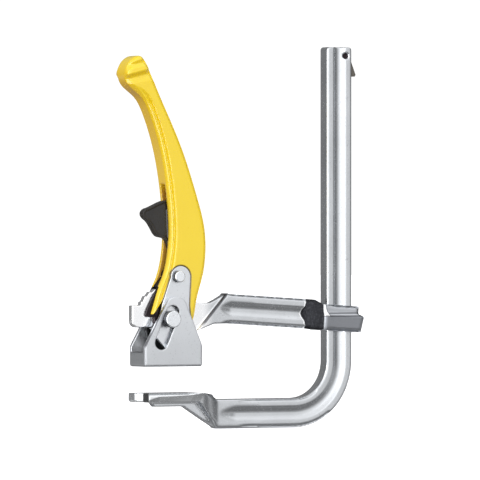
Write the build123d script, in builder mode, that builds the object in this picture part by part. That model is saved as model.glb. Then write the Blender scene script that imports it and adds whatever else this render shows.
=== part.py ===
# One-hand lever bar clamp. Millimetres, +Z up the rail, +X from the jaws to the rail, -Y near side.
# Origin: centre of the fixed jaw's clamping face.
import os
from math import acos, asin, atan2, cos, degrees, hypot, radians, sin, tan

from build123d import *

os.makedirs("parts", exist_ok=True)

# Fits
running_fit = 0.05
slide_gap = 0.3
slot_fit = 0.25

# Bar section shared by the rail and the sliding arm
bar_wide = 19.5
bar_thick = 9.5
bar_edge = 1.3
groove_wide = 8.8
groove_deep = 1.7
groove_radius = (groove_wide**2 / 4 + groove_deep**2) / (2 * groove_deep)
groove_offset = bar_thick / 2 - groove_deep + groove_radius

# Rail: upright, bend and lower run
throat = 120.0
rail_top = 228.5
rail_top_corner = 2.5
bend_inner_radius = 24.5
lower_run_drop = 4.5
bend_mid_radius = bend_inner_radius + bar_wide / 2
rail_mid_x = throat + bar_wide / 2
lower_mid_z = -lower_run_drop - bar_wide / 2

# Fixed jaw, forged in one with the rail
pad_left = 20.7
pad_wide = 28.0
pad_thick = 6.0
pad_edge_low = 2.0
pad_under_half = 8.5
notch_half = 6.0
notch_deep = 5.2
flare_start = 21.5
flare_waist = 31.5
flare_waist_half = 7.0
flare_waist_top = 1.2
flare_waist_low = 18.4
flare_end = 36.0
jaw_groove_start = 50.0
jaw_groove_runout = 13.0
rib_left = 12.5
rib_right = 12.0
rib_drop = 9.1
rib_bevel = 2.4
rib_thick = 4.5

# Stop latch near the top of the rail
latch_inset = 4.7
latch_below_top = 5.8
latch_pin_x = throat + bar_wide - latch_inset
latch_pin_z = rail_top - latch_below_top
latch_pin_radius = 2.0
latch_pin_recess = 1.8
latch_hub = 4.2
latch_thick = 3.0
latch_reach = 9.5
latch_tip_drop = 12.4
latch_toe_drop = 13.6
latch_toe_back = 1.8
latch_tip_flat = 0.5
latch_pocket_drop = 16.3
latch_spring_radius = 1.1
latch_spring_wire = 0.4
latch_spring_turns = 5
latch_spring_drop = 9.5
latch_spring_bore = 5.5

# Sliding arm: canted bar and the collar round the rail
arm_cant = 3.5
arm_mid_z = 49.7
shoulder_low = (21.5, 40.6)
shoulder_high = (44.4, 65.5)
shoulder_heel = (33.8, 45.0)
shoulder_run = (46.0, 45.1)
arm_groove_start = 83.5
arm_groove_runout = 8.0
collar_half_wide = 11.0
collar_left = 14.0
collar_flare = 12.0
collar_shoulder = 21.0
collar_inset = 1.0
collar_ledge = 1.6
collar_draft = 1.3
collar_low = 10.2
collar_high = 6.9
collar_tier = 0.3
collar_back = 13.6
collar_heel = 17.6
collar_corner = 3.5

# Tongue at the arm's end, with ratchet teeth round the lever's pivot
pivot_x = -2.4
pivot_z = 48.4
tongue_thick = 5.0
tooth_crest = 21.0
tooth_depth = 1.2
tooth_pitch = 12.5
tooth_first = 83.0
tooth_count = 6
nose_reach = 24.4
nose_top = 9.0
nose_bottom = 5.5
nose_corner = 4.3
tongue_hub = 11.0
neck_top = [(18.0, 60.3), (25.6, 58.5), (31.7, 58.8), (37.0, 61.2), (42.5, 64.3)]
neck_root = [(44.0, 50.0), (32.0, 44.2)]

# Pivot pin and pawl pin
pivot_radius = 4.5
pivot_head = 5.5
pivot_head_high = 4.4
pivot_stub = 3.0
pivot_washer = 6.2
pivot_washer_thick = 2.0
pawl_pin_right = 7.25
pawl_pin_over = 27.8
pawl_pin_x = pivot_x + pawl_pin_right
pawl_pin_z = pivot_z + pawl_pin_over
pawl_pin_radius = 3.0
pawl_head = 3.8
pawl_head_high = 3.4
pawl_stub = 2.2
pawl_washer = 4.6
pawl_washer_thick = 1.2
rivet_head_high = 1.2
head_round = 0.7

# Lever handle
handle_thick = 15.0
handle_bevel = 2.3
knob_swell = 1.1
knob_line = ((-36.0, 207.0), (-12.0, 212.5))
slot_half = tongue_thick / 2 + slide_gap
slot_floor_x = 14.5
slot_top_z = 137.0
slot_top_x = -3.0
slot_shoulder_z = 128.0
web_edge = ((14.5, 76.0), (17.5, 72.6), (24.0, 78.5))
fork_hub = 7.6
fork_tip_over = 2.9
fork_tip_x = -12.9
fork_slit = (-3.0, 13.6)
fork_heel = (10.0, 40.6)
handle_outline = (
    (-15.8, 47.0), (-14.5, 51.3), (-11.4, 60.5), (-8.8, 68.0), (-5.2, 75.5), (-2.1, 86.0), (-0.5, 98.0),
    (-1.2, 124.0), (-6.8, 158.0), (-15.2, 183.0), (-21.8, 193.8), (-29.0, 199.4), (-33.9, 207.0),
    (-32.4, 214.0), (-27.5, 219.3), (-22.8, 220.6), (-18.6, 216.8), (-9.4, 199.1), (5.8, 168.1),
    (15.2, 145.0), (21.3, 127.0), (26.2, 109.0), (27.2, 92.0), (24.6, 75.0), (20.0, 59.0), (17.4, 47.3),
    (12.5, 41.0), (0.0, 38.0), (-11.0, 41.0),
)

# Side plates let into the fork, cams outside and liners inside
cam_thick = 2.0
cam_head = 7.2
cam_head_right = 9.4
cam_head_over = 27.5
cam_rise = 8.0
lever_open = 35.0
lever_close = 25.0
liner_thick = 1.5
liner_radius = 15.2
liner_hub = 8.5
liner_head = 7.0
liner_flat = 1.3
liner_leave = 152.0
liner_neck = 14.6
liner_corner = 1.8
cam_left_edge = ((-8.3, -12.6), (-9.5, -8.0), (-6.4, 0.5), (-4.4, 10.0))
cam_right_edge = ((15.6, 9.0), (17.6, -9.0))

# Pawl, trigger and their spring
toe_angle = 104.0
toe_heel = 86.0
pawl_hub = 7.0
tang_thick = 2.6
trigger_fit = 0.05
trigger_rivet = 1.2
trigger_rivets = ((3.4, 114.5), (4.4, 100.0))
tang_edge = ((-1.0, 78.0), (1.9, 93.0), (0.6, 119.5), (5.4, 119.5), (6.4, 96.0), (10.5, 78.0))
toe_back = ((2.0, 84.0), (-1.5, 77.0), (-6.2, 71.8), (-7.6, 69.9))
trigger_top = [(6.6, 124.3), (-2.7, 125.9), (-10.0, 123.0), (-16.2, 120.7)]
trigger_tip = [(-16.2, 120.7), (-18.7, 117.5), (-16.6, 113.8)]
trigger_under = [(-16.6, 113.8), (-11.0, 107.2), (-6.6, 102.2), (-2.2, 101.2), (0.4, 98.0), (1.9, 93.0)]
trigger_inner = ((7.6, 92.0), (6.6, 124.3))
trigger_back_fit = 0.1
pawl_spring_radius = 1.9
pawl_spring_wire = 0.7
pawl_spring_turns = 5
pawl_spring_over = 59.6
spring_pocket_deep = 2.0

# Pressure foot
foot_half_long = 21.9
foot_half_wide = 10.5
cheek_thick = 2.7
foot_bottom = 17.3
foot_base_thick = 9.2
foot_corner = 1.6
foot_edge = 0.9
foot_slot_wide = 2 * (pivot_radius + slot_fit)
foot_slot_lean = 23.6
foot_slot_above = 4.5
foot_slot_below = 16.7
foot_slot_far_below = 7.0
foot_left_knee = (-foot_half_long, 30.0)
foot_right_knee = (foot_half_long, 30.3)
foot_crown = ((9.4, 58.9), (2.0, 63.2), (-4.9, 59.8))

foot_base_top = foot_bottom + foot_base_thick
cheek_inner = foot_half_wide - cheek_thick
handle_half = handle_thick / 2
liner_outer = slot_half + liner_thick
cam_inner = handle_half - cam_thick
tooth_root = tooth_crest - tooth_depth
toe_radius = tooth_crest + slide_gap
cut_through = 40.0


def polar(radius, angle):
    """Point at a radius and angle round the lever's pivot, in the XZ plane."""
    return (pivot_x + radius * cos(radians(angle)), pivot_z + radius * sin(radians(angle)))


def from_pivot(right, over):
    """Point given by its distances right of and over the lever's pivot, in the XZ plane."""
    return (pivot_x + right, pivot_z + over)


def cross_hole(x, z, radius):
    """Cut a round hole right through in Y."""
    with BuildSketch(Plane.XZ) as hole:
        with Locations((x, z)):
            Circle(radius)
    extrude(hole.sketch, amount=cut_through, both=True, mode=Mode.SUBTRACT)


def side_disc(x, z, radius, low, high):
    """Add a disc across Y between two distances from the middle plane."""
    with BuildSketch(Plane.XZ.offset(-low)) as disc:
        with Locations((x, z)):
            Circle(radius)
    extrude(disc.sketch, amount=low - high)


def finish(part, name):
    """Name a finished sub-part and write it."""
    part.label = name
    export_step(part, f"parts/{name}.step")


def coil(start, length, radius, wire, turns):
    """Compression spring along +X from a start point."""
    with BuildPart() as spring:
        with BuildLine():
            path = Helix(pitch=(length - wire) / turns, height=length - wire, radius=radius,
                         center=(start[0] + wire / 2, start[1], start[2]), direction=(1, 0, 0))
        with BuildSketch(Plane(path @ 0, z_dir=path % 0)):
            Circle(wire / 2)
        sweep(path=path)
    return spring.part


def groove_runouts(face, runout):
    """Let both grooves of a bar rise to its faces over a run, from a plane across the bar."""
    with BuildPart(mode=Mode.PRIVATE) as cutter:
        with Locations(face):
            with Locations((groove_offset, 0, 0), (-groove_offset, 0, 0)):
                Cone(groove_radius, groove_radius - groove_deep, runout,
                     align=(Align.CENTER, Align.CENTER, Align.MIN))
    add(cutter.part, mode=Mode.SUBTRACT)


# Rail with its fixed jaw -------------------------------------------------------------------
pad_half = pad_wide / 2
bar_half = bar_thick / 2
jaw_sections = (
    (-pad_left, pad_half, 0, 0.8 - pad_thick, pad_half - 0.8, -pad_thick),
    (-0.6 * pad_left, pad_half, 0, -1.2 * pad_edge_low, pad_under_half + 1, -pad_thick),
    (-0.1 * pad_left, pad_half, 0, -pad_edge_low, pad_under_half, -pad_thick),
    (0.65 * flare_start, pad_half, 0, -0.45 * pad_edge_low, pad_under_half, -pad_thick),
    (flare_start, pad_half - 1, 0, -0.3 * pad_edge_low, pad_under_half - 0.5, -pad_thick),
    (flare_waist, flare_waist_half, -flare_waist_top, -2 * pad_edge_low, flare_waist_half - 0.4,
     -flare_waist_low),
    (flare_end, bar_half, -lower_run_drop, -lower_run_drop - bar_edge, bar_half,
     -lower_run_drop - bar_wide),
)
bend_x = rail_mid_x - bend_mid_radius
bend_z = lower_mid_z + bend_mid_radius
latch_pocket_x = latch_pin_x - latch_hub - slide_gap
with BuildPart() as rail_bar:
    with BuildLine(Plane.XZ) as rail_path:
        Line((jaw_groove_start, lower_mid_z), (bend_x, lower_mid_z))
        CenterArc((bend_x, bend_z), bend_mid_radius, -90, 90)
        Line((rail_mid_x, bend_z), (rail_mid_x, rail_top))
    with BuildSketch(Plane((jaw_groove_start, 0, lower_mid_z), x_dir=(0, 0, 1), z_dir=(1, 0, 0))):
        RectangleRounded(bar_wide, bar_thick, bar_edge)
        with Locations((0, groove_offset), (0, -groove_offset)):
            Circle(groove_radius, mode=Mode.SUBTRACT)
    sweep(path=rail_path.line)
    with BuildSketch(Plane.XZ):
        with Locations((rail_mid_x, rail_top)):
            Rectangle(bar_wide, 2 * rail_top_corner)
        with Locations((rail_mid_x, rail_top - bar_wide / 2)):
            RectangleRounded(bar_wide, bar_wide, rail_top_corner, mode=Mode.SUBTRACT)
    extrude(amount=bar_thick, both=True, mode=Mode.SUBTRACT)

    # Plain stretch between the jaw and the round ends of the grooves
    with BuildSketch(Plane.YZ.offset(flare_end - 1)):
        with Locations((0, lower_mid_z)):
            RectangleRounded(bar_thick, bar_wide, bar_edge)
    extrude(amount=jaw_groove_start - flare_end + 1)
    groove_runouts(Plane((jaw_groove_start, 0, lower_mid_z), x_dir=(0, 1, 0), z_dir=(-1, 0, 0)),
                   jaw_groove_runout)

    # Clamping pad, forged thinner along its sides, and the flare that joins it to the bar
    for left_section, right_section in zip(jaw_sections, jaw_sections[1:]):
        for along, half, top, edge_low, under_half, under in (left_section, right_section):
            with BuildSketch(Plane.YZ.offset(along)):
                Polygon((-half, top), (half, top), (half, edge_low), (under_half, under),
                        (-under_half, under), (-half, edge_low), align=None)
        loft(ruled=True)
    with BuildSketch(Plane.XY):
        Polygon((-pad_left - notch_deep, -notch_half), (-pad_left, -notch_half),
                (-pad_left + notch_deep, 0), (-pad_left, notch_half),
                (-pad_left - notch_deep, notch_half), align=None)
    extrude(amount=-pad_thick, mode=Mode.SUBTRACT)

    # Rib below the pad
    with BuildSketch(Plane.XZ):
        with BuildLine():
            Polyline((-rib_left, -pad_thick), (-rib_left + rib_bevel, -rib_drop), (rib_right, -rib_drop),
                     (flare_end, lower_mid_z - bar_wide / 2), (flare_end, -pad_thick), close=True)
        make_face()
    extrude(amount=rib_thick / 2, both=True)

    # Pocket, cross hole and spring bore for the stop latch
    with BuildSketch(Plane.XZ):
        with Locations((latch_pocket_x, latch_pin_z - latch_pocket_drop)):
            Rectangle(bar_wide, latch_pocket_drop + latch_hub / 2, align=(Align.MIN, Align.MIN))
        with Locations((latch_pin_x, latch_pin_z)):
            Circle(latch_hub + slide_gap)
    extrude(amount=latch_thick / 2 + slide_gap, both=True, mode=Mode.SUBTRACT)
    with BuildSketch(Plane.YZ.offset(latch_pocket_x - latch_spring_bore)):
        with Locations((0, latch_pin_z - latch_spring_drop)):
            Circle(latch_spring_radius + latch_spring_wire)
    extrude(amount=latch_spring_bore + 1, mode=Mode.SUBTRACT)
    cross_hole(latch_pin_x, latch_pin_z, latch_pin_radius)
finish(rail_bar.part, "rail_bar")

# Stop latch: round hub on the pin, leg hanging down and a wedge that stands out of the rail ----
tip = (latch_reach, -latch_tip_drop)
toe = (latch_toe_back, -latch_toe_drop)
tip_tangent = degrees(atan2(tip[1], tip[0])) + degrees(acos(latch_hub / hypot(*tip)))
toe_tangent = degrees(atan2(toe[1], toe[0])) - degrees(acos(latch_hub / hypot(*toe)))


def on_latch_hub(angle):
    return (latch_hub * cos(radians(angle)), latch_hub * sin(radians(angle)))


with BuildPart() as stop_latch:
    with BuildSketch(Plane((latch_pin_x, 0, latch_pin_z), x_dir=(1, 0, 0), z_dir=(0, -1, 0))):
        with BuildLine():
            Polyline(on_latch_hub(toe_tangent), toe, (latch_reach - latch_tip_flat, -latch_toe_drop), tip,
                     on_latch_hub(tip_tangent))
            ThreePointArc(on_latch_hub(tip_tangent), on_latch_hub((tip_tangent + toe_tangent) / 2 + 180),
                          on_latch_hub(toe_tangent))
        make_face()
        Circle(latch_pin_radius + running_fit, mode=Mode.SUBTRACT)
    extrude(amount=latch_thick / 2, both=True)
finish(stop_latch.part, "stop_latch")

with BuildPart() as stop_latch_pin:
    with BuildSketch(Plane.XZ):
        with Locations((latch_pin_x, latch_pin_z)):
            Circle(latch_pin_radius)
    extrude(amount=bar_thick / 2 - latch_pin_recess, both=True)
finish(stop_latch_pin.part, "stop_latch_pin")

leg_slope = (on_latch_hub(toe_tangent)[0] - toe[0]) / (on_latch_hub(toe_tangent)[1] - toe[1])
spring_crest_drop = latch_spring_drop - latch_spring_radius - latch_spring_wire / 2
leg_face_x = latch_pin_x + toe[0] + leg_slope * (latch_toe_drop - spring_crest_drop)
latch_spring_start = latch_pocket_x - latch_spring_bore + running_fit
latch_spring_length = leg_face_x - latch_spring_start - slide_gap
latch_spring = coil((latch_spring_start, 0, latch_pin_z - latch_spring_drop), latch_spring_length,
                    latch_spring_radius, latch_spring_wire, latch_spring_turns)
finish(latch_spring, "stop_latch_spring")

# Sliding arm -------------------------------------------------------------------------------
cant_cos = cos(radians(arm_cant))
cant_sin = sin(radians(arm_cant))
arm_along = (cant_cos, 0, -cant_sin)
arm_up = (cant_sin, 0, cant_cos)
arm_origin = (rail_mid_x, 0, arm_mid_z)
arm_section = Plane(arm_origin, x_dir=(0, 1, 0), z_dir=arm_along)
arm_plan = Plane(arm_origin, x_dir=arm_along, z_dir=arm_up)
bar_from = -(rail_mid_x - shoulder_low[0]) / cant_cos - bar_thick
flare_from = -collar_left - collar_flare
window_half = bar_wide / 2 / cant_cos + slot_fit
trim_over = shoulder_high[1] + bar_wide
window_left = -window_half - (bar_wide / 2) * tan(radians(arm_cant))
window_right = window_half + collar_low * tan(radians(arm_cant))



def collar_section(low, high, grown):
    """Section across the flare, from the plain bar (grown 0) to the collar (grown 1)."""
    def half(full):
        return bar_thick / 2 + grown * (full - bar_thick / 2)
    wide = half(collar_half_wide)
    inset = half(collar_half_wide - collar_inset)
    under = half(collar_half_wide - collar_draft)
    ledge = collar_tier + collar_ledge
    return ((-under, low), (under, low), (wide, collar_tier), (inset, ledge), (inset, high),
            (-inset, high), (-inset, ledge), (-wide, collar_tier))


def collar_plan(back, half):
    """Plan of the collar at one level, from its left face to its chamfered back."""
    return ((-collar_left, -half), (back - collar_corner, -half), (back, collar_corner - half),
            (back, half - collar_corner), (back - collar_corner, half), (-collar_left, half))


with BuildPart() as sliding_arm:
    with BuildSketch(arm_section.offset(bar_from)):
        RectangleRounded(bar_thick, bar_wide, bar_edge)
    extrude(amount=flare_from - bar_from + 1)
    with BuildSketch(Plane.XZ):
        with BuildLine():
            Polyline(shoulder_low, shoulder_high, (shoulder_high[0], trim_over),
                     (-cut_through, trim_over), (-cut_through, 0), (shoulder_low[0], 0), close=True)
        make_face()
    extrude(amount=bar_thick, both=True, mode=Mode.SUBTRACT)

    # Shoulder drawn down below the bar
    with BuildSketch(Plane.XZ):
        Polygon(shoulder_low, shoulder_high, shoulder_run, shoulder_heel, align=None)
    extrude(amount=bar_thick / 2, both=True)

    # Groove in each wide face, which rises to the face at its left end
    with BuildSketch(arm_section.offset(-arm_groove_start)):
        with Locations((groove_offset, 0), (-groove_offset, 0)):
            Circle(groove_radius)
    extrude(amount=arm_groove_start + flare_from + 1, mode=Mode.SUBTRACT)
    groove_runouts(Plane(arm_section.offset(-arm_groove_start).origin, x_dir=(0, 1, 0),
                         z_dir=[-part for part in arm_along]), arm_groove_runout)

    # Collar: flare from the bar, then a wide lower tier with a ledge up to a narrower one
    for along, low, high, grown in (
        (flare_from, -bar_wide / 2, bar_wide / 2, 0),
        (-collar_shoulder, -bar_wide / 2, bar_wide / 2, 0.5),
        (-collar_left, -collar_low, collar_high, 1),
    ):
        with BuildSketch(arm_section.offset(along)):
            Polygon(*collar_section(low, high, grown), align=None)
    loft(ruled=True)
    for level, back, half in (
        (-collar_low, collar_heel - collar_draft, collar_half_wide - collar_draft),
        (collar_tier, collar_heel, collar_half_wide),
        (collar_tier + collar_ledge, collar_back, collar_half_wide - collar_inset),
        (collar_high, collar_back, collar_half_wide - collar_inset),
    ):
        with BuildSketch(arm_plan.offset(level)):
            Polygon(*collar_plan(back, half), align=None)
    loft(ruled=True)
    with BuildSketch(arm_plan):
        with Locations(((window_left + window_right) / 2, 0)):
            Rectangle(window_right - window_left, bar_thick + 2 * slot_fit)
    extrude(amount=bar_wide, both=True, mode=Mode.SUBTRACT)

    # Tongue: nose, ratchet teeth and hub, running into the bar behind the shoulder
    with BuildSketch(Plane.XZ):
        with BuildLine():
            under = degrees(asin(nose_bottom / tongue_hub))
            outline = [polar(tongue_hub, 180 + under)]
            outline.append((pivot_x - nose_reach, pivot_z - nose_bottom))
            outline.append((pivot_x - nose_reach, pivot_z + nose_top))
            outline.append(polar(tooth_root, 180 - degrees(asin(nose_top / tooth_root))))
            for count in reversed(range(tooth_count)):
                outline.append(polar(tooth_crest, tooth_first + count * tooth_pitch))
                outline.append(polar(tooth_root, tooth_first + count * tooth_pitch))
            outline += neck_top
            outline += neck_root
            outline += [shoulder_low, (pivot_x, pivot_z - tongue_hub)]
            Polyline(outline)
            ThreePointArc(outline[-1], polar(tongue_hub, 225 + under / 2), outline[0])
        make_face()
    extrude(amount=tongue_thick / 2, both=True)
    fillet(sliding_arm.edges().filter_by(Axis.Y).group_by(Axis.X)[0].sort_by(Axis.Z)[0], nose_corner)
    cross_hole(pivot_x, pivot_z, pivot_radius)
finish(sliding_arm.part, "sliding_arm")

# Pins, each with a forged head in front and riveted over a washer behind ---------------------
head_seat = foot_half_wide + slide_gap
rear_seat = head_seat + pivot_washer_thick
with BuildPart() as pivot_pin:
    side_disc(pivot_x, pivot_z, pivot_radius, -head_seat, head_seat)
    side_disc(pivot_x, pivot_z, pivot_head, -head_seat - pivot_head_high, -head_seat)
    side_disc(pivot_x, pivot_z, pivot_stub, head_seat, rear_seat)
    side_disc(pivot_x, pivot_z, pivot_radius, rear_seat, rear_seat + rivet_head_high)
    fillet(pivot_pin.faces().sort_by(Axis.Y)[0].edges(), head_round)
    fillet(pivot_pin.faces().sort_by(Axis.Y)[-1].edges(), head_round)
finish(pivot_pin.part, "pivot_pin")

with BuildPart() as pivot_pin_washer:
    side_disc(pivot_x, pivot_z, pivot_washer, head_seat, rear_seat)
    cross_hole(pivot_x, pivot_z, pivot_stub)
finish(pivot_pin_washer.part, "pivot_pin_washer")

pawl_seat = handle_half + pawl_washer_thick
with BuildPart() as pawl_pin:
    side_disc(pawl_pin_x, pawl_pin_z, pawl_pin_radius, -handle_half, handle_half)
    side_disc(pawl_pin_x, pawl_pin_z, pawl_head, -handle_half - pawl_head_high, -handle_half)
    side_disc(pawl_pin_x, pawl_pin_z, pawl_stub, handle_half, pawl_seat)
    side_disc(pawl_pin_x, pawl_pin_z, pawl_pin_radius, pawl_seat, pawl_seat + rivet_head_high)
    fillet(pawl_pin.faces().sort_by(Axis.Y)[0].edges(), head_round)
    fillet(pawl_pin.faces().sort_by(Axis.Y)[-1].edges(), head_round)
finish(pawl_pin.part, "pawl_pin")

with BuildPart() as pawl_pin_washer:
    side_disc(pawl_pin_x, pawl_pin_z, pawl_washer, handle_half, pawl_seat)
    cross_hole(pawl_pin_x, pawl_pin_z, pawl_stub)
finish(pawl_pin_washer.part, "pawl_pin_washer")


# Plates let into the fork: cams outside, liners inside ---------------------------------------
def cam_point(angle):
    """Point on the cam's involute nose, which lifts by the same height for each degree."""
    reach = pivot_z - foot_base_top - slide_gap + cam_rise * radians(angle - 270)
    return (pivot_x + reach * cos(radians(angle)) - cam_rise * sin(radians(angle)),
            pivot_z + reach * sin(radians(angle)) + cam_rise * cos(radians(angle)))


def cam_outline(y):
    """Cam plate's face: round head behind the pawl pin, involute nose at the foot."""
    first = 270 - lever_open
    last = 270 + lever_close
    left_top = from_pivot(cam_head_right - cam_head, cam_head_over)
    right_top = from_pivot(cam_head_right + cam_head, cam_head_over)
    left_edge = [from_pivot(*point) for point in cam_left_edge]
    right_edge = [from_pivot(*point) for point in cam_right_edge]
    with BuildSketch(Plane.XZ.offset(-y)) as face:
        with BuildLine():
            ThreePointArc(left_top, from_pivot(cam_head_right, cam_head_over + cam_head), right_top)
            Polyline(right_top, *right_edge, cam_point(last))
            Spline(*(cam_point(last - (last - first) * step / 6) for step in range(7)))
            Polyline(cam_point(first), *left_edge, left_top)
        make_face()
    return face.sketch


def liner_outline(y):
    """Liner's face: disc round the pivot with a flat at the left, neck and round head."""
    flat = polar(liner_radius, 180 - degrees(asin(liner_flat / liner_radius)))
    leave = polar(liner_radius, liner_leave)
    neck = (leave[0] + liner_neck * sin(radians(liner_leave)),
            leave[1] - liner_neck * cos(radians(liner_leave)))
    head_left = (pawl_pin_x - liner_head, pawl_pin_z)
    head_right = (pawl_pin_x + liner_head, pawl_pin_z)
    hub_right = (pivot_x + liner_hub, pivot_z)
    hub_left = (pivot_x - liner_hub, pivot_z)
    with BuildSketch(Plane.XZ.offset(-y)) as face:
        with BuildLine():
            ThreePointArc(flat, polar(liner_radius, (liner_leave + 175) / 2), leave)
            Polyline(leave, neck, head_left)
            ThreePointArc(head_left, (pawl_pin_x, pawl_pin_z + liner_head), head_right)
            Line(head_right, hub_right)
            ThreePointArc(hub_right, (pivot_x, pivot_z - liner_hub), hub_left)
            Polyline(hub_left, (hub_left[0], flat[1]), flat)
        make_face()
        fillet(face.vertices().sort_by(Axis.X)[0], liner_corner)
    return face.sketch


plates = (
    ("cam_plate_front", cam_outline, -handle_half, -cam_inner),
    ("cam_plate_rear", cam_outline, cam_inner, handle_half),
    ("liner_front", liner_outline, -liner_outer, -slot_half),
    ("liner_rear", liner_outline, slot_half, liner_outer),
)
for plate_name, outline_at, low, high in plates:
    with BuildPart() as plate:
        extrude(outline_at(low), amount=low - high)
        cross_hole(pivot_x, pivot_z, pivot_radius + running_fit)
        cross_hole(pawl_pin_x, pawl_pin_z, pawl_pin_radius)
    finish(plate.part, plate_name)

# Lever handle ------------------------------------------------------------------------------
def bevelled(sketch, half):
    """Casting of one outline, bevelled along both flat sides."""
    with BuildPart() as block:
        extrude(sketch, amount=half, both=True)
        flat_sides = block.faces().filter_by(Axis.Y).sort_by(Axis.Y)
        chamfer(flat_sides[0].edges() + flat_sides[-1].edges(), handle_bevel)
    return block.part


with BuildSketch(Plane.XZ) as handle_face:
    with BuildLine():
        Spline(handle_outline, periodic=True)
    make_face()
with BuildSketch(Plane.XZ) as knob_face:
    add(handle_face.sketch)
    with BuildLine():
        Polyline(*knob_line, (knob_line[1][0] + cut_through, knob_line[1][1]),
                 (knob_line[1][0] + cut_through, 0), (knob_line[0][0] - cut_through, 0),
                 (knob_line[0][0] - cut_through, knob_line[0][1]), close=True)
    make_face(mode=Mode.SUBTRACT)

with BuildPart() as lever_handle:
    add(bevelled(handle_face.sketch, handle_half))
    add(bevelled(knob_face.sketch, handle_half + knob_swell))

    # Slot for the pawl, trigger and tongue: closed by a web on the right, open below it
    with BuildSketch(Plane.XZ):
        Polygon((-cut_through, slot_top_z), (slot_top_x, slot_top_z), (slot_floor_x, slot_shoulder_z),
                *web_edge, (cut_through, pawl_pin_z + cut_through / 2), (cut_through, 0), (-cut_through, 0),
                align=None)
    extrude(amount=slot_half, both=True, mode=Mode.SUBTRACT)

    # Fork: a prong at the left, a slit beside it and a half-round seat on the pivot at the right
    with BuildSketch(Plane.XZ):
        with BuildLine():
            fork_tip = (fork_tip_x, pivot_z + fork_tip_over)
            Polyline((-cut_through, 0), (-cut_through, fork_tip[1]), fork_tip, from_pivot(*fork_slit),
                     (pivot_x, pivot_z), (pivot_x, pivot_z - fork_hub), fork_heel, (fork_heel[0], 0),
                     close=True)
        make_face()
    extrude(amount=handle_thick, both=True, mode=Mode.SUBTRACT)

    # Seats for the plates, bores for the pins and a pocket for the pawl spring
    for plate_name, outline_at, low, high in plates:
        extrude(outline_at(low), amount=low - high, mode=Mode.SUBTRACT)
    cross_hole(pivot_x, pivot_z, pivot_radius + running_fit)
    cross_hole(pawl_pin_x, pawl_pin_z, pawl_pin_radius)
    with BuildSketch(Plane.YZ.offset(slot_floor_x)):
        with Locations((0, pivot_z + pawl_spring_over)):
            Circle(pawl_spring_radius + pawl_spring_wire)
    extrude(amount=spring_pocket_deep, mode=Mode.SUBTRACT)
finish(lever_handle.part, "lever_handle")

# Ratchet pawl: hub on its pin, toe over the teeth and a thin tang up to the trigger ------------
with BuildSketch(Plane.XZ) as tang_face:
    Polygon(*tang_edge, align=None)

with BuildPart() as ratchet_pawl:
    with BuildSketch(Plane.XZ):
        with Locations((pawl_pin_x, pawl_pin_z)):
            Circle(pawl_hub)
        with BuildLine():
            toe_end = polar(toe_radius, toe_heel)
            Polyline(toe_end, (pawl_pin_x, pawl_pin_z), *toe_back, polar(toe_radius, toe_angle))
            ThreePointArc(polar(toe_radius, toe_angle), polar(toe_radius, (toe_angle + toe_heel) / 2),
                          toe_end)
        make_face()
    extrude(amount=tongue_thick / 2, both=True)
    extrude(tang_face.sketch, amount=tang_thick / 2, both=True)
    cross_hole(pawl_pin_x, pawl_pin_z, pawl_pin_radius + running_fit)
    for rivet_place in trigger_rivets:
        cross_hole(*rivet_place, trigger_rivet)
finish(ratchet_pawl.part, "ratchet_pawl")

with BuildPart() as release_trigger:
    with BuildSketch(Plane.XZ):
        with BuildLine():
            Spline(trigger_top)
            Spline(trigger_tip)
            Spline(trigger_under)
            Polyline(trigger_under[-1], *trigger_inner)
        make_face()
    extrude(amount=tongue_thick / 2, both=True)
    with BuildSketch(Plane.XZ):
        add(tang_face.sketch)
        offset(amount=trigger_fit, kind=Kind.INTERSECTION)
    extrude(amount=tang_thick / 2 + trigger_fit, both=True, mode=Mode.SUBTRACT)
    for rivet_place in trigger_rivets:
        cross_hole(*rivet_place, trigger_rivet)
finish(release_trigger.part, "release_trigger")

for rivet_name, rivet_place in zip(("trigger_rivet_upper", "trigger_rivet_lower"), trigger_rivets):
    with BuildPart() as rivet:
        side_disc(*rivet_place, trigger_rivet, -tongue_thick / 2, tongue_thick / 2)
    finish(rivet.part, rivet_name)

inner_top, inner_low = trigger_inner[-1], trigger_inner[0]
pawl_spring_z = pivot_z + pawl_spring_over
inner_slope = (inner_top[0] - inner_low[0]) / (inner_top[1] - inner_low[1])
pawl_spring_x = inner_low[0] + inner_slope * (pawl_spring_z - inner_low[1]) + trigger_back_fit
pawl_spring_long = slot_floor_x + spring_pocket_deep - pawl_spring_x - running_fit
finish(coil((pawl_spring_x, 0, pawl_spring_z), pawl_spring_long, pawl_spring_radius, pawl_spring_wire,
            pawl_spring_turns), "pawl_spring")

# Pressure foot: one casting, base plate with two slotted cheeks --------------------------------
with BuildPart() as pressure_foot:
    with BuildSketch(Plane.XZ):
        with BuildLine():
            Polyline(foot_crown[-1], foot_left_knee, (-foot_half_long, foot_bottom),
                     (foot_half_long, foot_bottom), foot_right_knee, foot_crown[0])
            ThreePointArc(*foot_crown)
        make_face()
    extrude(amount=foot_half_wide, both=True)
    fillet(pressure_foot.edges().filter_by(Axis.Z), foot_corner)
    with BuildSketch(Plane.XZ):
        with Locations((0, foot_base_top)):
            Rectangle(3 * foot_half_long, cut_through, align=(Align.CENTER, Align.MIN))
    extrude(amount=cheek_inner, both=True, mode=Mode.SUBTRACT)
    # Long slot in the near cheek, short one in the far cheek
    for slot_below, slot_depth in ((foot_slot_below, foot_half_wide), (foot_slot_far_below, -foot_half_wide)):
        slot_middle = (foot_slot_above - slot_below) / 2
        with BuildSketch(Plane.XZ):
            with Locations(polar(slot_middle, 90 - foot_slot_lean)):
                SlotCenterToCenter(foot_slot_above + slot_below, foot_slot_wide,
                                   rotation=90 - foot_slot_lean)
        extrude(amount=slot_depth, mode=Mode.SUBTRACT)
    chamfer(pressure_foot.faces().sort_by(Axis.Z)[0].edges(), foot_edge)
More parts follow.
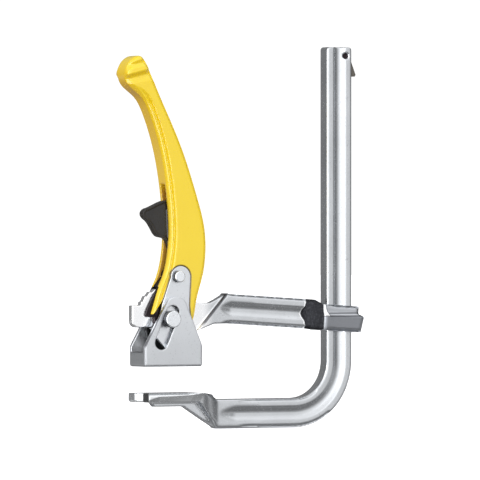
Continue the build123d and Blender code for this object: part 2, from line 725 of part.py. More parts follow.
finish(pressure_foot.part, "pressure_foot")
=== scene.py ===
import math

import bpy
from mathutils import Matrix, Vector
from mathutils.bvhtree import BVHTree
from mathutils.kdtree import KDTree


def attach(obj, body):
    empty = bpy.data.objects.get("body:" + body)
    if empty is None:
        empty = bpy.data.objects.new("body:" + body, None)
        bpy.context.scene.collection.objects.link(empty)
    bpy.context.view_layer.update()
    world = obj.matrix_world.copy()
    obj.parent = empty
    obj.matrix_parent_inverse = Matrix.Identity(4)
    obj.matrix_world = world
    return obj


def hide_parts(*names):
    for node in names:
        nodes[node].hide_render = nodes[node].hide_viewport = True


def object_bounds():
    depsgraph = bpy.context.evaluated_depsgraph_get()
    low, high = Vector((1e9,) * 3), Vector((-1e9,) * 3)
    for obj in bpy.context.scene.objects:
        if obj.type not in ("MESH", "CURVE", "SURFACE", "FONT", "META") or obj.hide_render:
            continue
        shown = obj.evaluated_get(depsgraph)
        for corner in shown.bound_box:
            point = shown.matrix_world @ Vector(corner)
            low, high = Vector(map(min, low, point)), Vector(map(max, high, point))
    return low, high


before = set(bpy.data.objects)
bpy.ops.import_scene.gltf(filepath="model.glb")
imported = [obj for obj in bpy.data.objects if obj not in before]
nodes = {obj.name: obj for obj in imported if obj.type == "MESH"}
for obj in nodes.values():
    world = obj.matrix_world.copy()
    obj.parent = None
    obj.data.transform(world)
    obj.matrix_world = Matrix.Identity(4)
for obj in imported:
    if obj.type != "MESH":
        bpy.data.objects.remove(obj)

cadLow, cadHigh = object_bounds()


class Wire:  # one output socket, which can stand in a sum
    def __init__(self, pen, socket):
        self.pen = pen
        self.socket = socket

    def __add__(self, other):
        return self.pen.math("ADD", self, other)

    def __sub__(self, other):
        return self.pen.math("SUBTRACT", self, other)

    def __mul__(self, other):
        return self.pen.math("MULTIPLY", self, other)

    def __rsub__(self, other):
        return self.pen.math("SUBTRACT", other, self)

    __radd__ = __add__
    __rmul__ = __mul__


class Pen:  # adds nodes to one tree
    def __init__(self, owner, place):
        owner.use_nodes = True
        self.owner = owner
        self.tree = owner.node_tree
        self.tree.nodes.clear()
        self.place = self.add("ShaderNodeTexCoord", out=place)

    def add(self, kind, settings=None, values=None, out=0):
        node = self.tree.nodes.new(kind)
        for key, value in (settings or {}).items():
            if key == "stops":
                ramp = node.color_ramp
                while len(ramp.elements) < len(value):
                    ramp.elements.new(0.5)
                for element, (position, colour) in zip(ramp.elements, value):
                    element.position = position
                    element.color = (*colour, 1)
            else:
                setattr(node, key, value)
        for key, value in (values or {}).items():
            if isinstance(value, Wire):
                self.tree.links.new(value.socket, node.inputs[key])
            else:
                node.inputs[key].default_value = value
        return Wire(self, node.outputs[out])

    def math(self, operation, first, second=0.0):
        return self.add("ShaderNodeMath", {"operation": operation}, {0: first, 1: second})

    def most(self, first, *others):  # the larger of two or more masks
        for other in others:
            first = self.math("MAXIMUM", first, other)
        return first

    def noise(self, scale, detail, stretch=(1, 1, 1)):
        spot = self.add("ShaderNodeMapping", None, {"Vector": self.place, "Scale": stretch})
        return self.add("ShaderNodeTexNoise", None, {"Vector": spot, "Scale": scale, "Detail": detail})

    def step(self, wire, low, high):  # 0 below low, 1 above high, smooth between
        values = {"Value": wire, "From Min": low, "From Max": high}
        return self.add("ShaderNodeMapRange", {"interpolation_type": "SMOOTHSTEP"}, values)

    def within(self, wire, low, high, soft):  # 1 between low and high, 0 outside
        return self.step(wire, low - soft, low + soft) * (1 - self.step(wire, high - soft, high + soft))

    def blend(self, share, first, second, how="MIX"):  # colour from first to second
        return self.add("ShaderNodeMix", {"data_type": "RGBA", "blend_type": how},
                        {0: share, 6: first, 7: second}, out=2)

    def ramp(self, place, levels):  # greys or colours by place
        stops = [(spot, level if isinstance(level, tuple) else (level, level, level)) for spot, level in levels]
        return self.add("ShaderNodeValToRGB", {"stops": stops}, {"Fac": place})

    def relief(self, height, distance=0.001):
        return self.add("ShaderNodeBump", None, {"Height": height, "Distance": distance, "Strength": 1.0})

    def axes(self):  # x, y and z of the place, each a wire
        node = self.tree.nodes.new("ShaderNodeSeparateXYZ")
        self.tree.links.new(self.place.socket, node.inputs[0])
        return [Wire(self, node.outputs[i]) for i in range(3)]


class Finish(Pen):  # a material and the nodes that paint it
    def __init__(self, name):
        super().__init__(bpy.data.materials.new(name), "Object")

    def surface(self, **values):
        shader = self.add("ShaderNodeBsdfPrincipled", None,
                          {key.replace("_", " "): value for key, value in values.items()})
        end = self.tree.nodes.new("ShaderNodeOutputMaterial")
        self.tree.links.new(shader.socket, end.inputs["Surface"])
        return self.owner


def shade(level, tint=(1, 1, 1)):
    return (level * tint[0], level * tint[1], level * tint[2], 1)


# brightness, grain and pits of the bare and plated steels
barLook = {
    "dark": 0.60, "light": 0.76, "tint": (0.930, 0.960, 1.0), "rough": 0.22, "patchy": 0.10,
    "broad": 45, "grain": 260, "along": (6, 6, 0.35), "lines": 0.010, "hammer": 70, "wavy": 0.02,
    "pits": 900, "pitEdge": (0.62, 0.75), "pitShare": 0.35, "pitShade": 0.6, "pitRough": 0.1, "pitDepth": 0.02,
}
castLook = dict(barLook, dark=0.78, light=0.90, rough=0.34, along=(1, 1, 1), grain=900, lines=0.03)
plateLook = dict(barLook, dark=0.80, light=0.92, rough=0.32, along=(1, 1, 0.08), grain=700)
pinLook = dict(barLook, dark=0.88, light=0.98, rough=0.24, along=(1, 1, 1), grain=600)
latchLook = dict(castLook, dark=0.14, light=0.22, rough=0.42, tint=(1.0, 0.92, 0.82))
blackLook = dict(castLook, dark=0.020, light=0.05, rough=0.40, tint=(1.0, 0.80, 0.88))


class Steel(Finish):  # plated or blackened steel, toned and roughened before it is surfaced
    def __init__(self, name, look):
        super().__init__(name)
        broad = self.noise(look["broad"], 3)
        fine = self.noise(look["grain"], 4, look["along"])
        pits = self.step(self.noise(look["pits"], 2), *look["pitEdge"])
        tone = self.blend(broad, shade(look["dark"], look["tint"]), shade(look["light"], look["tint"]))
        pitTone = shade(look["dark"] * look["pitShade"], look["tint"])
        self.tone = self.blend(pits * look["pitShare"], tone, pitTone)
        patches = (broad - 0.5) * look["patchy"] + (fine - 0.5) * look["patchy"]
        self.rough = look["rough"] + patches + pits * look["pitRough"]
        self.height = (fine * look["lines"] + self.noise(look["hammer"], 2) * look["wavy"]
                       - pits * look["pitDepth"])

    def region(self, mask, tint, rough):  # darker or lighter, rougher or smoother where the mask is 1
        self.tone = self.blend(mask, self.tone, (*tint, 1), "MULTIPLY")
        self.rough = self.rough + mask * rough

    def done(self):
        return self.surface(Base_Color=self.tone, Metallic=1.0, Roughness=self.rough,
                            Normal=self.relief(self.height))


# where the arm's finishes and its painted light meet, in metres: the tongue (painted near white, a painted
# highlight), the black border that wanders with height, the collar's sail (a painted highlight) and its tiers
# (painted shade along their edges), and the painted shade of the step across the shoulder. Each tint has its
# added roughness
armPaint = {
    "soft": 0.0002, "edge": 0.00035, "line": 0.0009,
    "tongueEnd": (0.0260, 0.0340), "brightTint": (0.98, 0.985, 1.0, 1),
    "blackFrom": 0.0990, "blackTo": 0.1147, "wander": 0.0080, "ragged": 900, "raggedBy": 0.0006,
    "lowZ": 0.040, "highZ": 0.064,
    "border": ((0.0, 0.55), (0.10, 0.53), (0.28, 0.42), (0.40, 0.24), (0.48, 0.16), (0.56, 0.24),
               (0.68, 0.48), (0.80, 0.60), (1.0, 0.76)),
    "speck": 1500, "speckEdge": (0.52, 0.66), "speckDepth": 0.35,
    "tier": 0.0496, "ledge": 0.0513, "sailFrom": 0.0012, "sailSweep": 52.0, "sailTop": 0.0572,
    "lip": (0.0012, 0.0030),
    "stepFoot": (0.0216, 0.0407), "stepAcross": (0.741, -0.671), "stepWide": 0.0011, "stepFade": (0.001, 0.006),
    "upperTint": ((0.84, 0.845, 0.86), 0.20), "lowerTint": ((0.62, 0.625, 0.65), 0.20),
    # the lip's tint is a painted highlight; the tints of the edge lines and of the shoulder step are painted
    # shade
    "lipHighlightTint": ((1.9, 1.9, 1.9), 0.0), "edgeShadeTint": ((0.30, 0.30, 0.31), 0.0),
    "blackTint": ((0.055, 0.055, 0.06), 0.45), "speckTint": ((2.6, 2.6, 2.6), 0.0),
    "shoulderShadeTint": ((0.20, 0.20, 0.21), 0.10),
}


def armFinish(name):
    f = Steel(name, barLook)
    x, y, z = f.axes()
    paint, soft, edge = armPaint, armPaint["soft"], armPaint["edge"]
    height = (z - paint["lowZ"]) * (1 / (paint["highZ"] - paint["lowZ"]))
    border = f.ramp(height, paint["border"]) * paint["wander"] + paint["blackFrom"]
    past = x - border + (f.noise(paint["ragged"], 2) - 0.5) * paint["raggedBy"]
    collar = f.step(x, paint["blackTo"] - edge, paint["blackTo"] + edge)
    black = f.step(past, -edge, edge) * (1 - collar)
    line = f.within(past, -paint["line"], -edge, soft)
    tongue = 1 - f.step(x, *paint["tongueEnd"])
    upper = f.step(z, paint["tier"] - soft, paint["tier"] + soft)
    drop = paint["sailTop"] - z
    sweep = x - (paint["blackTo"] + paint["sailFrom"]) - drop * drop * paint["sailSweep"]
    # the sail: the collar's rounded corner painted near white, a painted highlight
    sail = upper * collar * (1 - f.step(sweep, -0.0003, 0.0003))
    # painted shade: dark lines along the sail's edge, along the tier and along the ledge
    edgeShade = collar * (1 - sail) * (f.within(sweep, 0.0003, 0.0007, soft) * upper
                                  + f.within(z, paint["tier"] - 0.0004, paint["tier"] + 0.0004, soft)
                                  + f.within(z, paint["ledge"] - 0.0002, paint["ledge"] + 0.0006, soft))
    # painted highlight: the lower tier's left end lightened
    lipFrom, lipTo = paint["lip"]
    lip = collar * (1 - upper) * (1 - f.step(x, paint["blackTo"] + lipFrom, paint["blackTo"] + lipTo))
    footX, footZ = paint["stepFoot"]
    acrossX, acrossZ = paint["stepAcross"]
    fadeFrom, fadeTo = paint["stepFade"]
    # painted shade: a dark band along the step across the shoulder
    stepLine = (x - footX) * acrossX + (z - footZ) * acrossZ
    step = f.within(stepLine, -paint["stepWide"] * 0.3, paint["stepWide"], 0.0003)
    step = step * f.step(z, footZ + fadeFrom, footZ + fadeTo)
    speck = f.noise(paint["speck"], 3)
    f.region(collar * upper * (1 - sail), *paint["upperTint"])
    f.region(collar * (1 - upper), *paint["lowerTint"])
    f.region(lip, *paint["lipHighlightTint"])
    f.region(edgeShade, *paint["edgeShadeTint"])
    f.region(black, *paint["blackTint"])
    f.region(black * f.step(speck, *paint["speckEdge"]), *paint["speckTint"])
    f.height = f.height + black * speck * paint["speckDepth"]
    # painted highlights: the tongue and the sail painted near white; the thin line just short of the black
    # border is painted near white too
    f.tone = f.blend(f.most(line, tongue, sail), f.tone, paint["brightTint"])
    f.region(step, *paint["shoulderShadeTint"])
    return f.done()


# the foot, in metres: painted shade between its cheeks, in the walls of the near slot (from the slot's low end,
# and the direction across it) and on the rolled edge of the near cheek (from the cheek's left shoulder)
footPaint = {
    "insideHalf": 0.0077, "insideFloor": (0.0262, 0.0268), "insideShadeTint": ((0.24, 0.225, 0.22), 0.15),
    "slotEnd": (-0.0095, 0.0335), "slotAcross": (0.848, -0.530), "slotHalf": 0.0052, "slotRun": 0.0290,
    "slotDepth": (-0.0102, -0.0079), "slotShadeTint": ((0.15, 0.15, 0.155), 0.15),
    "shoulder": (-0.0220, 0.0300), "lean": (0.8753, -0.4835), "rimUp": (0.0006, 0.0014),
    "rimLean": (0.0005, 0.0013), "rimDepth": (-0.0102, -0.0094), "rimShadeTint": ((0.26, 0.26, 0.27), 0.15),
    "lowFade": (0.015, 0.060), "lowTint": ((0.86, 0.86, 0.86), 0.0),
}


def footFinish(name):
    f = Steel(name, castLook)
    x, y, z = f.axes()
    paint, half = footPaint, footPaint["slotHalf"]
    inside = f.within(y, -paint["insideHalf"], paint["insideHalf"], 0.0002) * f.step(z, *paint["insideFloor"])
    endX, endZ = paint["slotEnd"]
    acrossX, acrossZ = paint["slotAcross"]
    across = (x - endX) * acrossX + (z - endZ) * acrossZ
    along = (z - endZ) * acrossX - (x - endX) * acrossZ
    walls = f.within(across, -half, half, 0.0002) * f.within(along, -half, paint["slotRun"], 0.0002)
    walls = walls * f.within(y, *paint["slotDepth"], 0.0001)
    leftX, leftZ = paint["shoulder"]
    leanX, leanZ = paint["lean"]
    lean = (x - leftX) * leanX + (z - leftZ) * leanZ
    rim = 1 - f.step(x - leftX, *paint["rimUp"]) * f.step(lean, *paint["rimLean"])
    rim = rim * (1 - f.step(y, *paint["rimDepth"]))
    # painted shade between the cheeks, in the near slot's walls and on the near cheek's rolled edge
    f.region(inside, *paint["insideShadeTint"])
    f.region(walls, *paint["slotShadeTint"])
    f.region(rim, *paint["rimShadeTint"])
    f.region(1 - f.step(z, *paint["lowFade"]), *paint["lowTint"])
    return f.done()


# pins: bright turned ends, as deep as the rim, on shanks painted dark, a painted shade where they sit in the
# slots
pinPaint = {"rim": 0.0006, "soft": 0.0002, "shankShadeTint": ((0.10, 0.10, 0.105), 0.15)}


def pinFinish(name, nodeName):
    f = Steel(name, pinLook)
    x, y, z = f.axes()
    depths = [v.co.y for v in nodes[nodeName].data.vertices]
    rim, soft = pinPaint["rim"], pinPaint["soft"]
    # painted shade: the shanks darkened where they sit in the slots
    f.region(f.within(y, min(depths) + rim, max(depths) - rim, soft), *pinPaint["shankShadeTint"])
    return f.done()


# the far cam plate: its working end painted dark, a painted shade down inside the foot
farPlatePaint = {"paintedShadeTop": (0.044, 0.048), "paintedShadeTint": ((0.10, 0.10, 0.10), 0.1)}


def farPlateFinish(name):
    f = Steel(name, plateLook)
    x, y, z = f.axes()
    # painted shade: the plate darkened below the top of its working end
    f.region(1 - f.step(z, *farPlatePaint["paintedShadeTop"]), *farPlatePaint["paintedShadeTint"])
    return f.done()


# the rail: the pad painted brighter, a painted highlight, and the end of its near prong painted dark, a painted
# shade
railPaint = {
    "padEnd": (0.018, 0.026), "padTop": (-0.0075, -0.0065), "padHighlightTint": ((1.35, 1.34, 1.32), 0.0),
    "prongSide": (-0.004, -0.003), "prongEnd": (-0.0206, -0.0200), "prongShadeTint": ((0.2, 0.2, 0.2), 0.1),
}


def railFinish(name):
    f = Steel(name, barLook)
    x, y, z = f.axes()
    pad = (1 - f.step(x, *railPaint["padEnd"])) * f.step(z, *railPaint["padTop"])
    prong = pad * (1 - f.step(y, *railPaint["prongSide"])) * (1 - f.step(x, *railPaint["prongEnd"]))
    # painted highlight on the pad, painted shade on the near prong's end
    f.region(pad, *railPaint["padHighlightTint"])
    f.region(prong, *railPaint["prongShadeTint"])
    return f.done()


# the lever's enamel: broad tone, orange peel, specks, painted shade in the slot and painted contact shade round
# the plates
leverPaint = {
    "deep": (0.91, 0.69, 0.010, 1), "bright": (0.97, 0.79, 0.020, 1), "broad": 25,
    "specks": 1400, "speckEdge": (0.70, 0.78), "speckShare": 0.25, "speckShade": (0.62, 0.42, 0.03, 1),
    "slotHalf": 0.0030, "slotTop": (0.130, 0.140), "slotShare": 0.8, "slotPaintedShade": (0.55, 0.27, 0.06, 1),
    "plateShadeEdge": (0.10, 0.75), "plateShadeTone": (0.10, 0.07, 0.03, 1),
    "peel": 420, "peelDepth": 0.04, "waves": 60, "waveDepth": 0.10, "speckDepth": 0.03,
    "rough": 0.30, "patchy": 0.12, "coat": 0.9, "coatRough": 0.13,
}


def leverFinish(name):
    f = Finish(name)
    x, y, z = f.axes()
    paint = leverPaint
    peel = f.noise(paint["peel"], 2)
    speck = f.step(f.noise(paint["specks"], 2), *paint["speckEdge"])
    # painted shade: the slot's walls darkened to brown
    slot = f.within(y, -paint["slotHalf"], paint["slotHalf"], 0.0002) * (1 - f.step(z, *paint["slotTop"]))
    # painted shade: the lever darkened close round the plates let into it, a painted contact shadow
    grime = f.add("ShaderNodeAttribute", {"attribute_name": "grime"}, out=2)
    tone = f.blend(f.noise(paint["broad"], 2), paint["deep"], paint["bright"])
    tone = f.blend(speck * paint["speckShare"], tone, paint["speckShade"])
    tone = f.blend(slot * paint["slotShare"], tone, paint["slotPaintedShade"])
    tone = f.blend(f.step(grime, *paint["plateShadeEdge"]), tone, paint["plateShadeTone"])
    height = (peel * paint["peelDepth"] + f.noise(paint["waves"], 2) * paint["waveDepth"]
              - speck * paint["speckDepth"])
    return f.surface(Base_Color=tone, Roughness=paint["rough"] + (peel - 0.5) * paint["patchy"],
                     Coat_Weight=paint["coat"], Coat_Roughness=paint["coatRough"], Normal=f.relief(height))


triggerPaint = {
    "dark": (0.012, 0.012, 0.013, 1), "light": (0.028, 0.027, 0.028, 1), "broad": 90,
    "spark": 1100, "sparkDepth": 0.08, "rough": 0.34, "patchy": 0.2,
}


def triggerFinish(name):
    f = Finish(name)
    paint = triggerPaint
    spark = f.noise(paint["spark"], 3)
    tone = f.blend(f.noise(paint["broad"], 2), paint["dark"], paint["light"])
    return f.surface(Base_Color=tone, Roughness=paint["rough"] + (spark - 0.5) * paint["patchy"],
                     Normal=f.relief(spark * paint["sparkDepth"]))


finishes = {
    "rail_bar": railFinish("barSteel"),
    "sliding_arm": armFinish("armSteel"),
    "pressure_foot": footFinish("footSteel"),
    "cam_plate_front": Steel("plateSteel", plateLook).done(),
    "cam_plate_rear": farPlateFinish("farPlateSteel"),
    "pivot_pin": pinFinish("pinSteel", "pivot_pin"),
    "pawl_pin": pinFinish("pawlPinSteel", "pawl_pin"),
    "pivot_pin_washer": Steel("smallSteel", pinLook).done(),
    "stop_latch": Steel("latchSteel", latchLook).done(),
    "liner_front": Steel("blackSteel", blackLook).done(),
    "lever_handle": leverFinish("yellowPaint"),
    "release_trigger": triggerFinish("blackPlastic"),
}
sameAs = {
    "liner_rear": "liner_front", "ratchet_pawl": "liner_front",
    "pawl_pin_washer": "pivot_pin_washer", "stop_latch_pin": "liner_front",
    "stop_latch_spring": "pivot_pin_washer", "pawl_spring": "pivot_pin_washer",
    "trigger_rivet_upper": "pivot_pin_washer", "trigger_rivet_lower": "pivot_pin_washer",
}
for nodeName, node in nodes.items():
    node.data.materials.clear()
    node.data.materials.append(finishes[sameAs.get(nodeName, nodeName)])
print("finishes painted")


def selectOnly(piece):
    bpy.ops.object.select_all(action="DESELECT")
    piece.select_set(True)
    bpy.context.view_layer.objects.active = piece


def merged(nodeName, pieceName, flat=None):  # a copy of a node's mesh with its loose triangles joined
    piece = bpy.data.objects.new(pieceName, nodes[nodeName].data.copy())
    bpy.context.scene.collection.objects.link(piece)
    selectOnly(piece)
    bpy.ops.object.mode_set(mode="EDIT")
    bpy.ops.mesh.select_all(action="SELECT")
    bpy.ops.mesh.remove_doubles(threshold=0.00001)
    if flat:
        bpy.ops.mesh.dissolve_limited(angle_limit=math.radians(flat))
    bpy.ops.object.mode_set(mode="OBJECT")
    return piece


def shaped(piece, kind, **settings):  # one modifier, applied
    step = piece.modifiers.new(kind.lower(), kind)
    for key, value in settings.items():
        setattr(step, key, value)
    selectOnly(piece)
    bpy.ops.object.modifier_apply(modifier=step.name)


def placed(piece, nodeName, body):
    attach(piece, body)
    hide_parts(nodeName)
    print(piece.name, len(piece.data.polygons), "faces")
    return piece


def melted(piece, low, high, soft, rounds):  # the edges inside a box of X and Z run together
    group = piece.vertex_groups.new(name="melt")
    for v in piece.data.vertices:
        depth = min(v.co.x - low[0], high[0] - v.co.x, v.co.z - low[1], high[1] - v.co.z)
        if depth > 0:
            group.add([v.index], min(1.0, depth / soft), "REPLACE")
    shaped(piece, "SMOOTH", factor=0.5, iterations=rounds, vertex_group="melt")
    piece.vertex_groups.clear()


def forged(nodeName, pieceName, body, form, carve=None):  # edges rolled over as by a die
    piece = merged(nodeName, pieceName)
    shaped(piece, "REMESH", mode="VOXEL", voxel_size=form["grain"])
    shaped(piece, "SMOOTH", factor=0.5, iterations=form["rolls"])
    if "melt" in form:
        melted(piece, *form["melt"])
    if carve:
        carve(piece, form)
        shaped(piece, "SMOOTH", factor=0.5, iterations=form.get("finishing", 1))
    if "kept" in form:
        shaped(piece, "DECIMATE", ratio=form["kept"])
    selectOnly(piece)
    bpy.ops.object.shade_smooth()
    return placed(piece, nodeName, body)


def stamped(nodeName, pieceName, body, form):  # flat sides kept, edges broken
    piece = merged(nodeName, pieceName, form["flat"])
    shaped(piece, "BEVEL", width=form["edge"], segments=form["steps"], limit_method="ANGLE",
           angle_limit=math.radians(form["angle"]), use_clamp_overlap=True)
    bpy.ops.object.shade_smooth_by_angle(angle=math.radians(form["smooth"]))
    shaped(piece, "WEIGHTED_NORMAL", keep_sharp=True, weight=80)
    return placed(piece, nodeName, body)


def between(points, place):  # smooth steps between listed points
    if place <= points[0][0]:
        return points[0][1]
    for (startAt, startValue), (endAt, endValue) in zip(points, points[1:]):
        if place <= endAt:
            part = (place - startAt) / (endAt - startAt)
            part = part * part * (3 - 2 * part)
            return startValue + (endValue - startValue) * part
    return points[-1][1]


def measured(piece):  # where the points of a piece are, and which way they face
    points = piece.data.vertices
    return [v.co.copy() for v in points], [v.normal.copy() for v in points]


def moved(piece, spots):
    piece.data.vertices.foreach_set("co", [value for spot in spots for value in spot])


def wallTree(spots):  # finds how far a place is from a wall, seen along Y
    tree = KDTree(len(spots))
    for index, spot in enumerate(spots):
        tree.insert((spot.x, 0, spot.z), index)
    tree.balance()
    return lambda spot: tree.find((spot.x, 0, spot.z))[2]


def wallLine(spots, height):  # the same, from the middle line of a wall that runs up and down
    bands = {}
    for spot in spots:
        bands.setdefault(round(spot.z / height), []).append(spot)
    line = [sum(band, Vector()) / len(band) for _, band in sorted(bands.items())]
    return wallTree([start.lerp(end, part / 8) for start, end in zip(line, line[1:]) for part in range(8)])


# lever casting, in metres: cuts into its faces by distance from the left and right walls, and how far its
# cheeks stand off the middle plane by height over the knob's foot
lever = {
    "grain": 0.00040, "rolls": 3, "finishing": 9, "kept": 0.80,
    "melt": ((-0.042, 0.2030), (0.0, 0.2300), 0.002, 60),
    "wallFrom": 0.0034, "wallTo": 0.0062, "wallIn": 0.0015, "wallStep": 0.001, "band": 0.004,
    "leftTurn": -0.4, "rightTurn": 0.75, "faceFrom": 0.0038, "facing": ((0.20, 0.0), (0.70, 1.0)),
    "beadLow": 0.052, "beadHigh": 0.2000, "beadFade": 0.010,
    "leftBead": ((0.0, 0.0004), (0.0008, 0.0), (0.0018, 0.0), (0.0028, 0.0023), (0.0032, 0.0023),
                 (0.0042, 0.0)),
    "rightEdge": ((0.0, 0.0024), (0.0011, 0.0011), (0.0030, 0.0)),
    "knobFoot": (-0.0314, 0.2067), "knobUp": (-0.234, 0.972), "slice": 0.0003,
    "knob": ((-0.0060, 0.0), (-0.0040, 1.0)),
    "knobHalf": ((-0.0050, 0.0072), (-0.0014, 0.0064), (0.0020, 0.0090), (0.0038, 0.0088), (0.0070, 0.0074),
                 (0.0090, 0.0085), (0.0150, 0.0064)),
    "grimeReach": 0.0015,
}


def leverWalls(spots, normals, form):  # points of the outer left and right walls, at mid depth
    places = [round(spot.z / form["wallStep"]) for spot in spots]
    least, most = {}, {}
    for spot, place in zip(spots, places):
        least[place] = min(least.get(place, spot.x), spot.x)
        most[place] = max(most.get(place, spot.x), spot.x)
    left, right = [], []
    for spot, normal, place in zip(spots, normals, places):
        if abs(normal.y) < 0.5 and form["wallFrom"] < abs(spot.y) < form["wallTo"]:
            if normal.x > form["rightTurn"] and most[place] - spot.x < form["wallIn"]:
                right.append(spot)
            if (normal.x < form["leftTurn"] and spot.x - least[place] < form["wallIn"]
                    and form["beadLow"] < spot.z < form["beadHigh"]):
                left.append(spot)
    return left, right


def carveLever(piece, form):  # a bead along the left wall, a rolled right edge and two rolls across the knob
    spots, normals = measured(piece)
    left, right = leverWalls(spots, normals, form)
    fromLeft, fromRight = wallLine(left, form["band"]), wallLine(right, form["band"])
    footX, footZ = form["knobFoot"]
    upX, upZ = form["knobUp"]
    overs = [(spot.x - footX) * upX + (spot.z - footZ) * upZ for spot in spots]
    widest = {}
    for spot, over in zip(spots, overs):
        place = round(over / form["slice"])
        widest[place] = max(widest.get(place, 0), abs(spot.y))
    for spot, normal, over in zip(spots, normals, overs):
        high, side = abs(spot.y), math.copysign(1, spot.y)
        facing = between(form["facing"], abs(normal.y))
        if facing > 0 and high > form["faceFrom"]:
            cut = between(form["rightEdge"], fromRight(spot))
            if form["beadLow"] < spot.z < form["beadHigh"]:
                fade = min(1.0, (form["beadHigh"] - spot.z) / form["beadFade"])
                cut = max(cut, between(form["leftBead"], fromLeft(spot)) * fade)
            high -= cut * facing
        grown = between(form["knobHalf"], over) / widest[round(over / form["slice"])]
        spot.y = side * high * (1 + (grown - 1) * between(form["knob"], over) * facing)
    moved(piece, spots)


def plateShaded(piece, neighbours, reach):  # how close each point of a piece is to the plates let into it, kept for the lever's painted contact shade round the plates
    trees = [BVHTree.FromPolygons([v.co for v in other.vertices], [face.vertices[:] for face in other.polygons])
             for other in neighbours]
    levels = [max(0.0, 1 - min(tree.find_nearest(v.co)[3] for tree in trees) / reach)
              for v in piece.data.vertices]
    piece.data.attributes.new("grime", "FLOAT", "POINT").data.foreach_set("value", levels)


trigger = {"grain": 0.00025, "rolls": 4, "dish": ((0.0011, 0.0), (0.0017, 0.00055))}


def carveTrigger(piece, form):  # a shallow dish in each face, with a rim round it
    spots, normals = measured(piece)
    fromWall = wallTree([spot for spot, normal in zip(spots, normals) if abs(normal.y) < 0.4])
    for spot, normal in zip(spots, normals):
        if abs(normal.y) > 0.5:
            spot.y -= math.copysign(between(form["dish"], fromWall(spot)), spot.y)
    moved(piece, spots)


# how far the long edges of the bars are rolled over, by distance from the edge. Each bar is a box from low
# to high X and low to high Z, with half its thickness, and the roll fades in over the ramp
bars = {"roll": ((0.0, 0.0021), (0.0008, 0.0011), (0.0017, 0.0002), (0.0024, 0.0)), "ramp": 0.008}
foot = {"grain": 0.0004, "rolls": 2}
arm = {
    "grain": 0.00045, "rolls": 3, "melt": ((0.0385, 0.042), (0.066, 0.063), 0.004, 30),
    "bars": ((0.040, 0.112, 0.030, 0.070, 0.0050), (0.115, 0.162, 0.030, 0.066, 0.0110)),
}
rail = {
    "grain": 0.00055, "rolls": 2, "melt": ((0.026, -0.030), (0.070, 0.004), 0.006, 24),
    "bars": ((0.052, 0.130, -0.040, 0.004, 0.0060), (-0.034, 0.018, -0.003, 0.004, 0.0135)),
}


def carveBars(piece, form):  # the top and bottom edges of each bar
    for lowX, highX, lowZ, highZ, thick in form["bars"]:
        spots, normals = measured(piece)
        fromEdge = wallTree([spot for spot, normal in zip(spots, normals)
                             if abs(normal.z) > 0.8 and abs(spot.y) < thick * 0.7
                             and lowX < spot.x < highX and lowZ < spot.z < highZ])
        for spot, normal in zip(spots, normals):
            within = min(spot.x - lowX, highX - spot.x) / bars["ramp"]
            if within > 0 and lowZ < spot.z < highZ and abs(normal.y) > 0.3 and abs(spot.y) > thick * 0.75:
                spot.y -= math.copysign(between(bars["roll"], fromEdge(spot)) * min(1.0, within), spot.y)
        moved(piece, spots)


forged("pressure_foot", "pressureFootCasting", "foot", foot)
forged("sliding_arm", "slidingArmForging", "arm", arm, carveBars)
forged("rail_bar", "railForging", "rail", rail, carveBars)
handle = forged("lever_handle", "leverCasting", "handle", lever, carveLever)
forged("release_trigger", "triggerMoulding", "trigger", trigger, carveTrigger)
# the closeness to the plates, for the lever's painted contact shade
plateShaded(handle, [nodes[name].data for name in ("cam_plate_front", "cam_plate_rear")], lever["grimeReach"])
print("forgings and castings shaped")

stamping = {"flat": 0.5, "edge": 0.00035, "steps": 3, "angle": 25, "smooth": 40}
pins = dict(stamping, edge=0.0004)
latch = dict(stamping, edge=0.0003)
stamped("cam_plate_front", "camPlateNear", "handle", stamping)
stamped("cam_plate_rear", "camPlateFar", "handle", stamping)
stamped("liner_front", "linerNear", "handle", stamping)
stamped("liner_rear", "linerFar", "handle", stamping)
stamped("ratchet_pawl", "pawlPlate", "trigger", stamping)
stamped("pivot_pin", "pivotPinTurned", "arm", pins)
stamped("pawl_pin", "pawlPinTurned", "handle", pins)
stamped("stop_latch", "stopLatchPlate", "latch", latch)
print("plates and pins shaped")

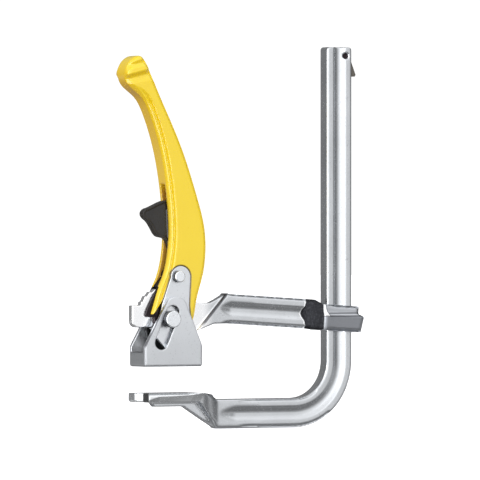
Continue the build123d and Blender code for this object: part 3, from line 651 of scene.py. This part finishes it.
studio = {
    "aim": (0.056, 0.0, 0.10012), "turn": -30.0, "distance": 4.0, "frameWidth": 0.3168, "sensor": 36,
    "floorDrop": 0.0003, "floorSize": 30.0, "floorGlow": 0.66, "floorTint": (0.98, 1.0, 1.06, 1),
    "floorShades": (0.80, 0.82), "seen": 1.1, "diffuse": 0.90, "gloss": 1.8,
    # brightness that metal mirrors: degrees from straight in front, towards the right
    "ring": ((-180, 0.20), (-160, 0.15), (-140, 0.12), (-105, 0.16), (-80, 0.45), (-60, 0.95), (8, 0.95),
             (24, 0.62), (34, 0.46), (50, 0.21), (70, 0.10), (100, 0.06), (140, 0.07), (180, 0.20)),
    "strip": (-62, -30, 2.5), "stripHeight": (-0.6, 0.5, 0.1),
    "above": (0.15, 0.7, 0.66), "aboveBehind": 0.14, "zenith": (0.86, 0.96, 0.12), "horizon": (0.04, 0.16),
    "below": ((0.0, 0.55), (0.12, 0.30), (0.45, 0.12), (0.80, 0.14), (1.0, 0.36)),
    # soft light from the same bearings, warmer from the sides
    "softRing": ((-180, (0.44, 0.32, 0.16)), (-90, (1.05, 0.62, 0.06)), (-50, (0.95, 0.85, 0.66)),
                 (-20, (1, 1, 1)), (12, (1, 1, 1)), (50, (0.74, 0.58, 0.32)), (90, (1.05, 0.52, 0.06)),
                 (180, (0.60, 0.42, 0.18))),
    "softBelow": (0.42, 0.26, 0.06, 1), "softAbove": 1.12,
    # name, where it stands from the aim, how far, its sides, its power and its tint
    "lights": (("softFront", (-0.22, -0.93, 0.40), 1.6, (1.0, 1.2), 6.4, (1, 1, 1)),
               ("softLeft", (-1.0, -0.25, 0.3), 1.8, (1.0, 1.4), 4.2, (1.0, 0.70, 0.14))),
}
turn = math.radians(studio["turn"])
back = Vector((math.sin(turn), -math.cos(turn), 0))
bpy.ops.object.select_all(action="DESELECT")
bpy.ops.object.camera_add(location=Vector(studio["aim"]) + back * studio["distance"],
                          rotation=(math.radians(90), 0, turn))
camera = bpy.context.object
camera.data.sensor_width = studio["sensor"]
camera.data.lens = studio["sensor"] * studio["distance"] / studio["frameWidth"]
camera.data.clip_end = 60
bpy.context.scene.camera = camera

world = bpy.data.worlds.new("studioAir")
bpy.context.scene.world = world
air = Pen(world, "Generated")
toRight, away, up = air.axes()
down = up * -1.0
share = air.math("ARCTAN2", toRight, away * -1.0) * (0.5 / math.pi) + 0.5  # bearing, 0 and 1 at the back


def bearings(levels):
    return [((angle + 180) / 360, level) for angle, level in levels]


lowUp, highUp, upLevel = studio["above"]
lowTop, highTop, topLevel = studio["zenith"]
overhead = air.blend(air.step(away, -0.15, 0.35), shade(upLevel), shade(studio["aboveBehind"]))
overhead = air.blend(air.step(up, lowTop, highTop), overhead, shade(topLevel))
glow = air.blend(air.step(up, lowUp, highUp), air.ramp(share, bearings(studio["ring"])), overhead)
glow = air.blend(air.step(down, *studio["horizon"]), glow, air.ramp(down, studio["below"]))
stripFrom, stripTo, stripLevel = studio["strip"]
strip = air.within(share, (stripFrom + 180) / 360, (stripTo + 180) / 360, 0.008)
glow = air.blend(strip * air.within(up, *studio["stripHeight"]), glow, shade(stripLevel))
soft = air.ramp(share, bearings(studio["softRing"]))
soft = air.blend(air.step(up, -0.1, 0.6), soft, shade(studio["softAbove"]))
soft = air.blend(air.step(down, 0.0, 0.6), soft, studio["softBelow"])

rays = air.tree.nodes.new("ShaderNodeLightPath")
mirrored, seen = (Wire(air, rays.outputs[kind]) for kind in ("Is Glossy Ray", "Is Camera Ray"))
forGloss = air.add("ShaderNodeBackground", None, {"Color": glow, "Strength": studio["gloss"]})
forRest = air.add("ShaderNodeBackground", None, {"Color": soft, "Strength": studio["diffuse"]})
forCamera = air.add("ShaderNodeBackground", None, {"Color": (1, 1, 1, 1), "Strength": studio["seen"]})
mixed = air.add("ShaderNodeMixShader", None, {0: mirrored, 1: forRest, 2: forGloss})
mixed = air.add("ShaderNodeMixShader", None, {0: seen, 1: mixed, 2: forCamera})
worldEnd = air.tree.nodes.new("ShaderNodeOutputWorld")
air.tree.links.new(mixed.socket, worldEnd.inputs["Surface"])
world.cycles.sampling_method = "NONE"

for name, towards, distance, size, power, tint in studio["lights"]:
    out = Vector(towards).normalized()
    bpy.ops.object.light_add(type="AREA", location=Vector(studio["aim"]) + out * distance)
    light = bpy.context.object
    light.name = name
    light.data.shape = "RECTANGLE"
    light.data.size, light.data.size_y = size
    light.data.energy = power
    light.data.color = tint
    light.rotation_euler = out.to_track_quat("Z", "Y").to_euler()
    light.visible_camera = False
    light.visible_glossy = False

bpy.ops.mesh.primitive_plane_add(size=studio["floorSize"], location=(0, 0, cadLow.z - studio["floorDrop"]))
floor = bpy.context.object
floor.name = "floor"
floor.visible_glossy = False
floor.visible_diffuse = False
paint = Finish("floorPaint")
floorTone = paint.blend(paint.noise(3, 2), *(shade(level) for level in studio["floorShades"]))
floor.data.materials.append(paint.surface(
    Base_Color=floorTone, Roughness=0.9,
    Emission_Color=studio["floorTint"], Emission_Strength=studio["floorGlow"]))
bpy.context.scene.view_settings.view_transform = "Standard"
print("studio lit")
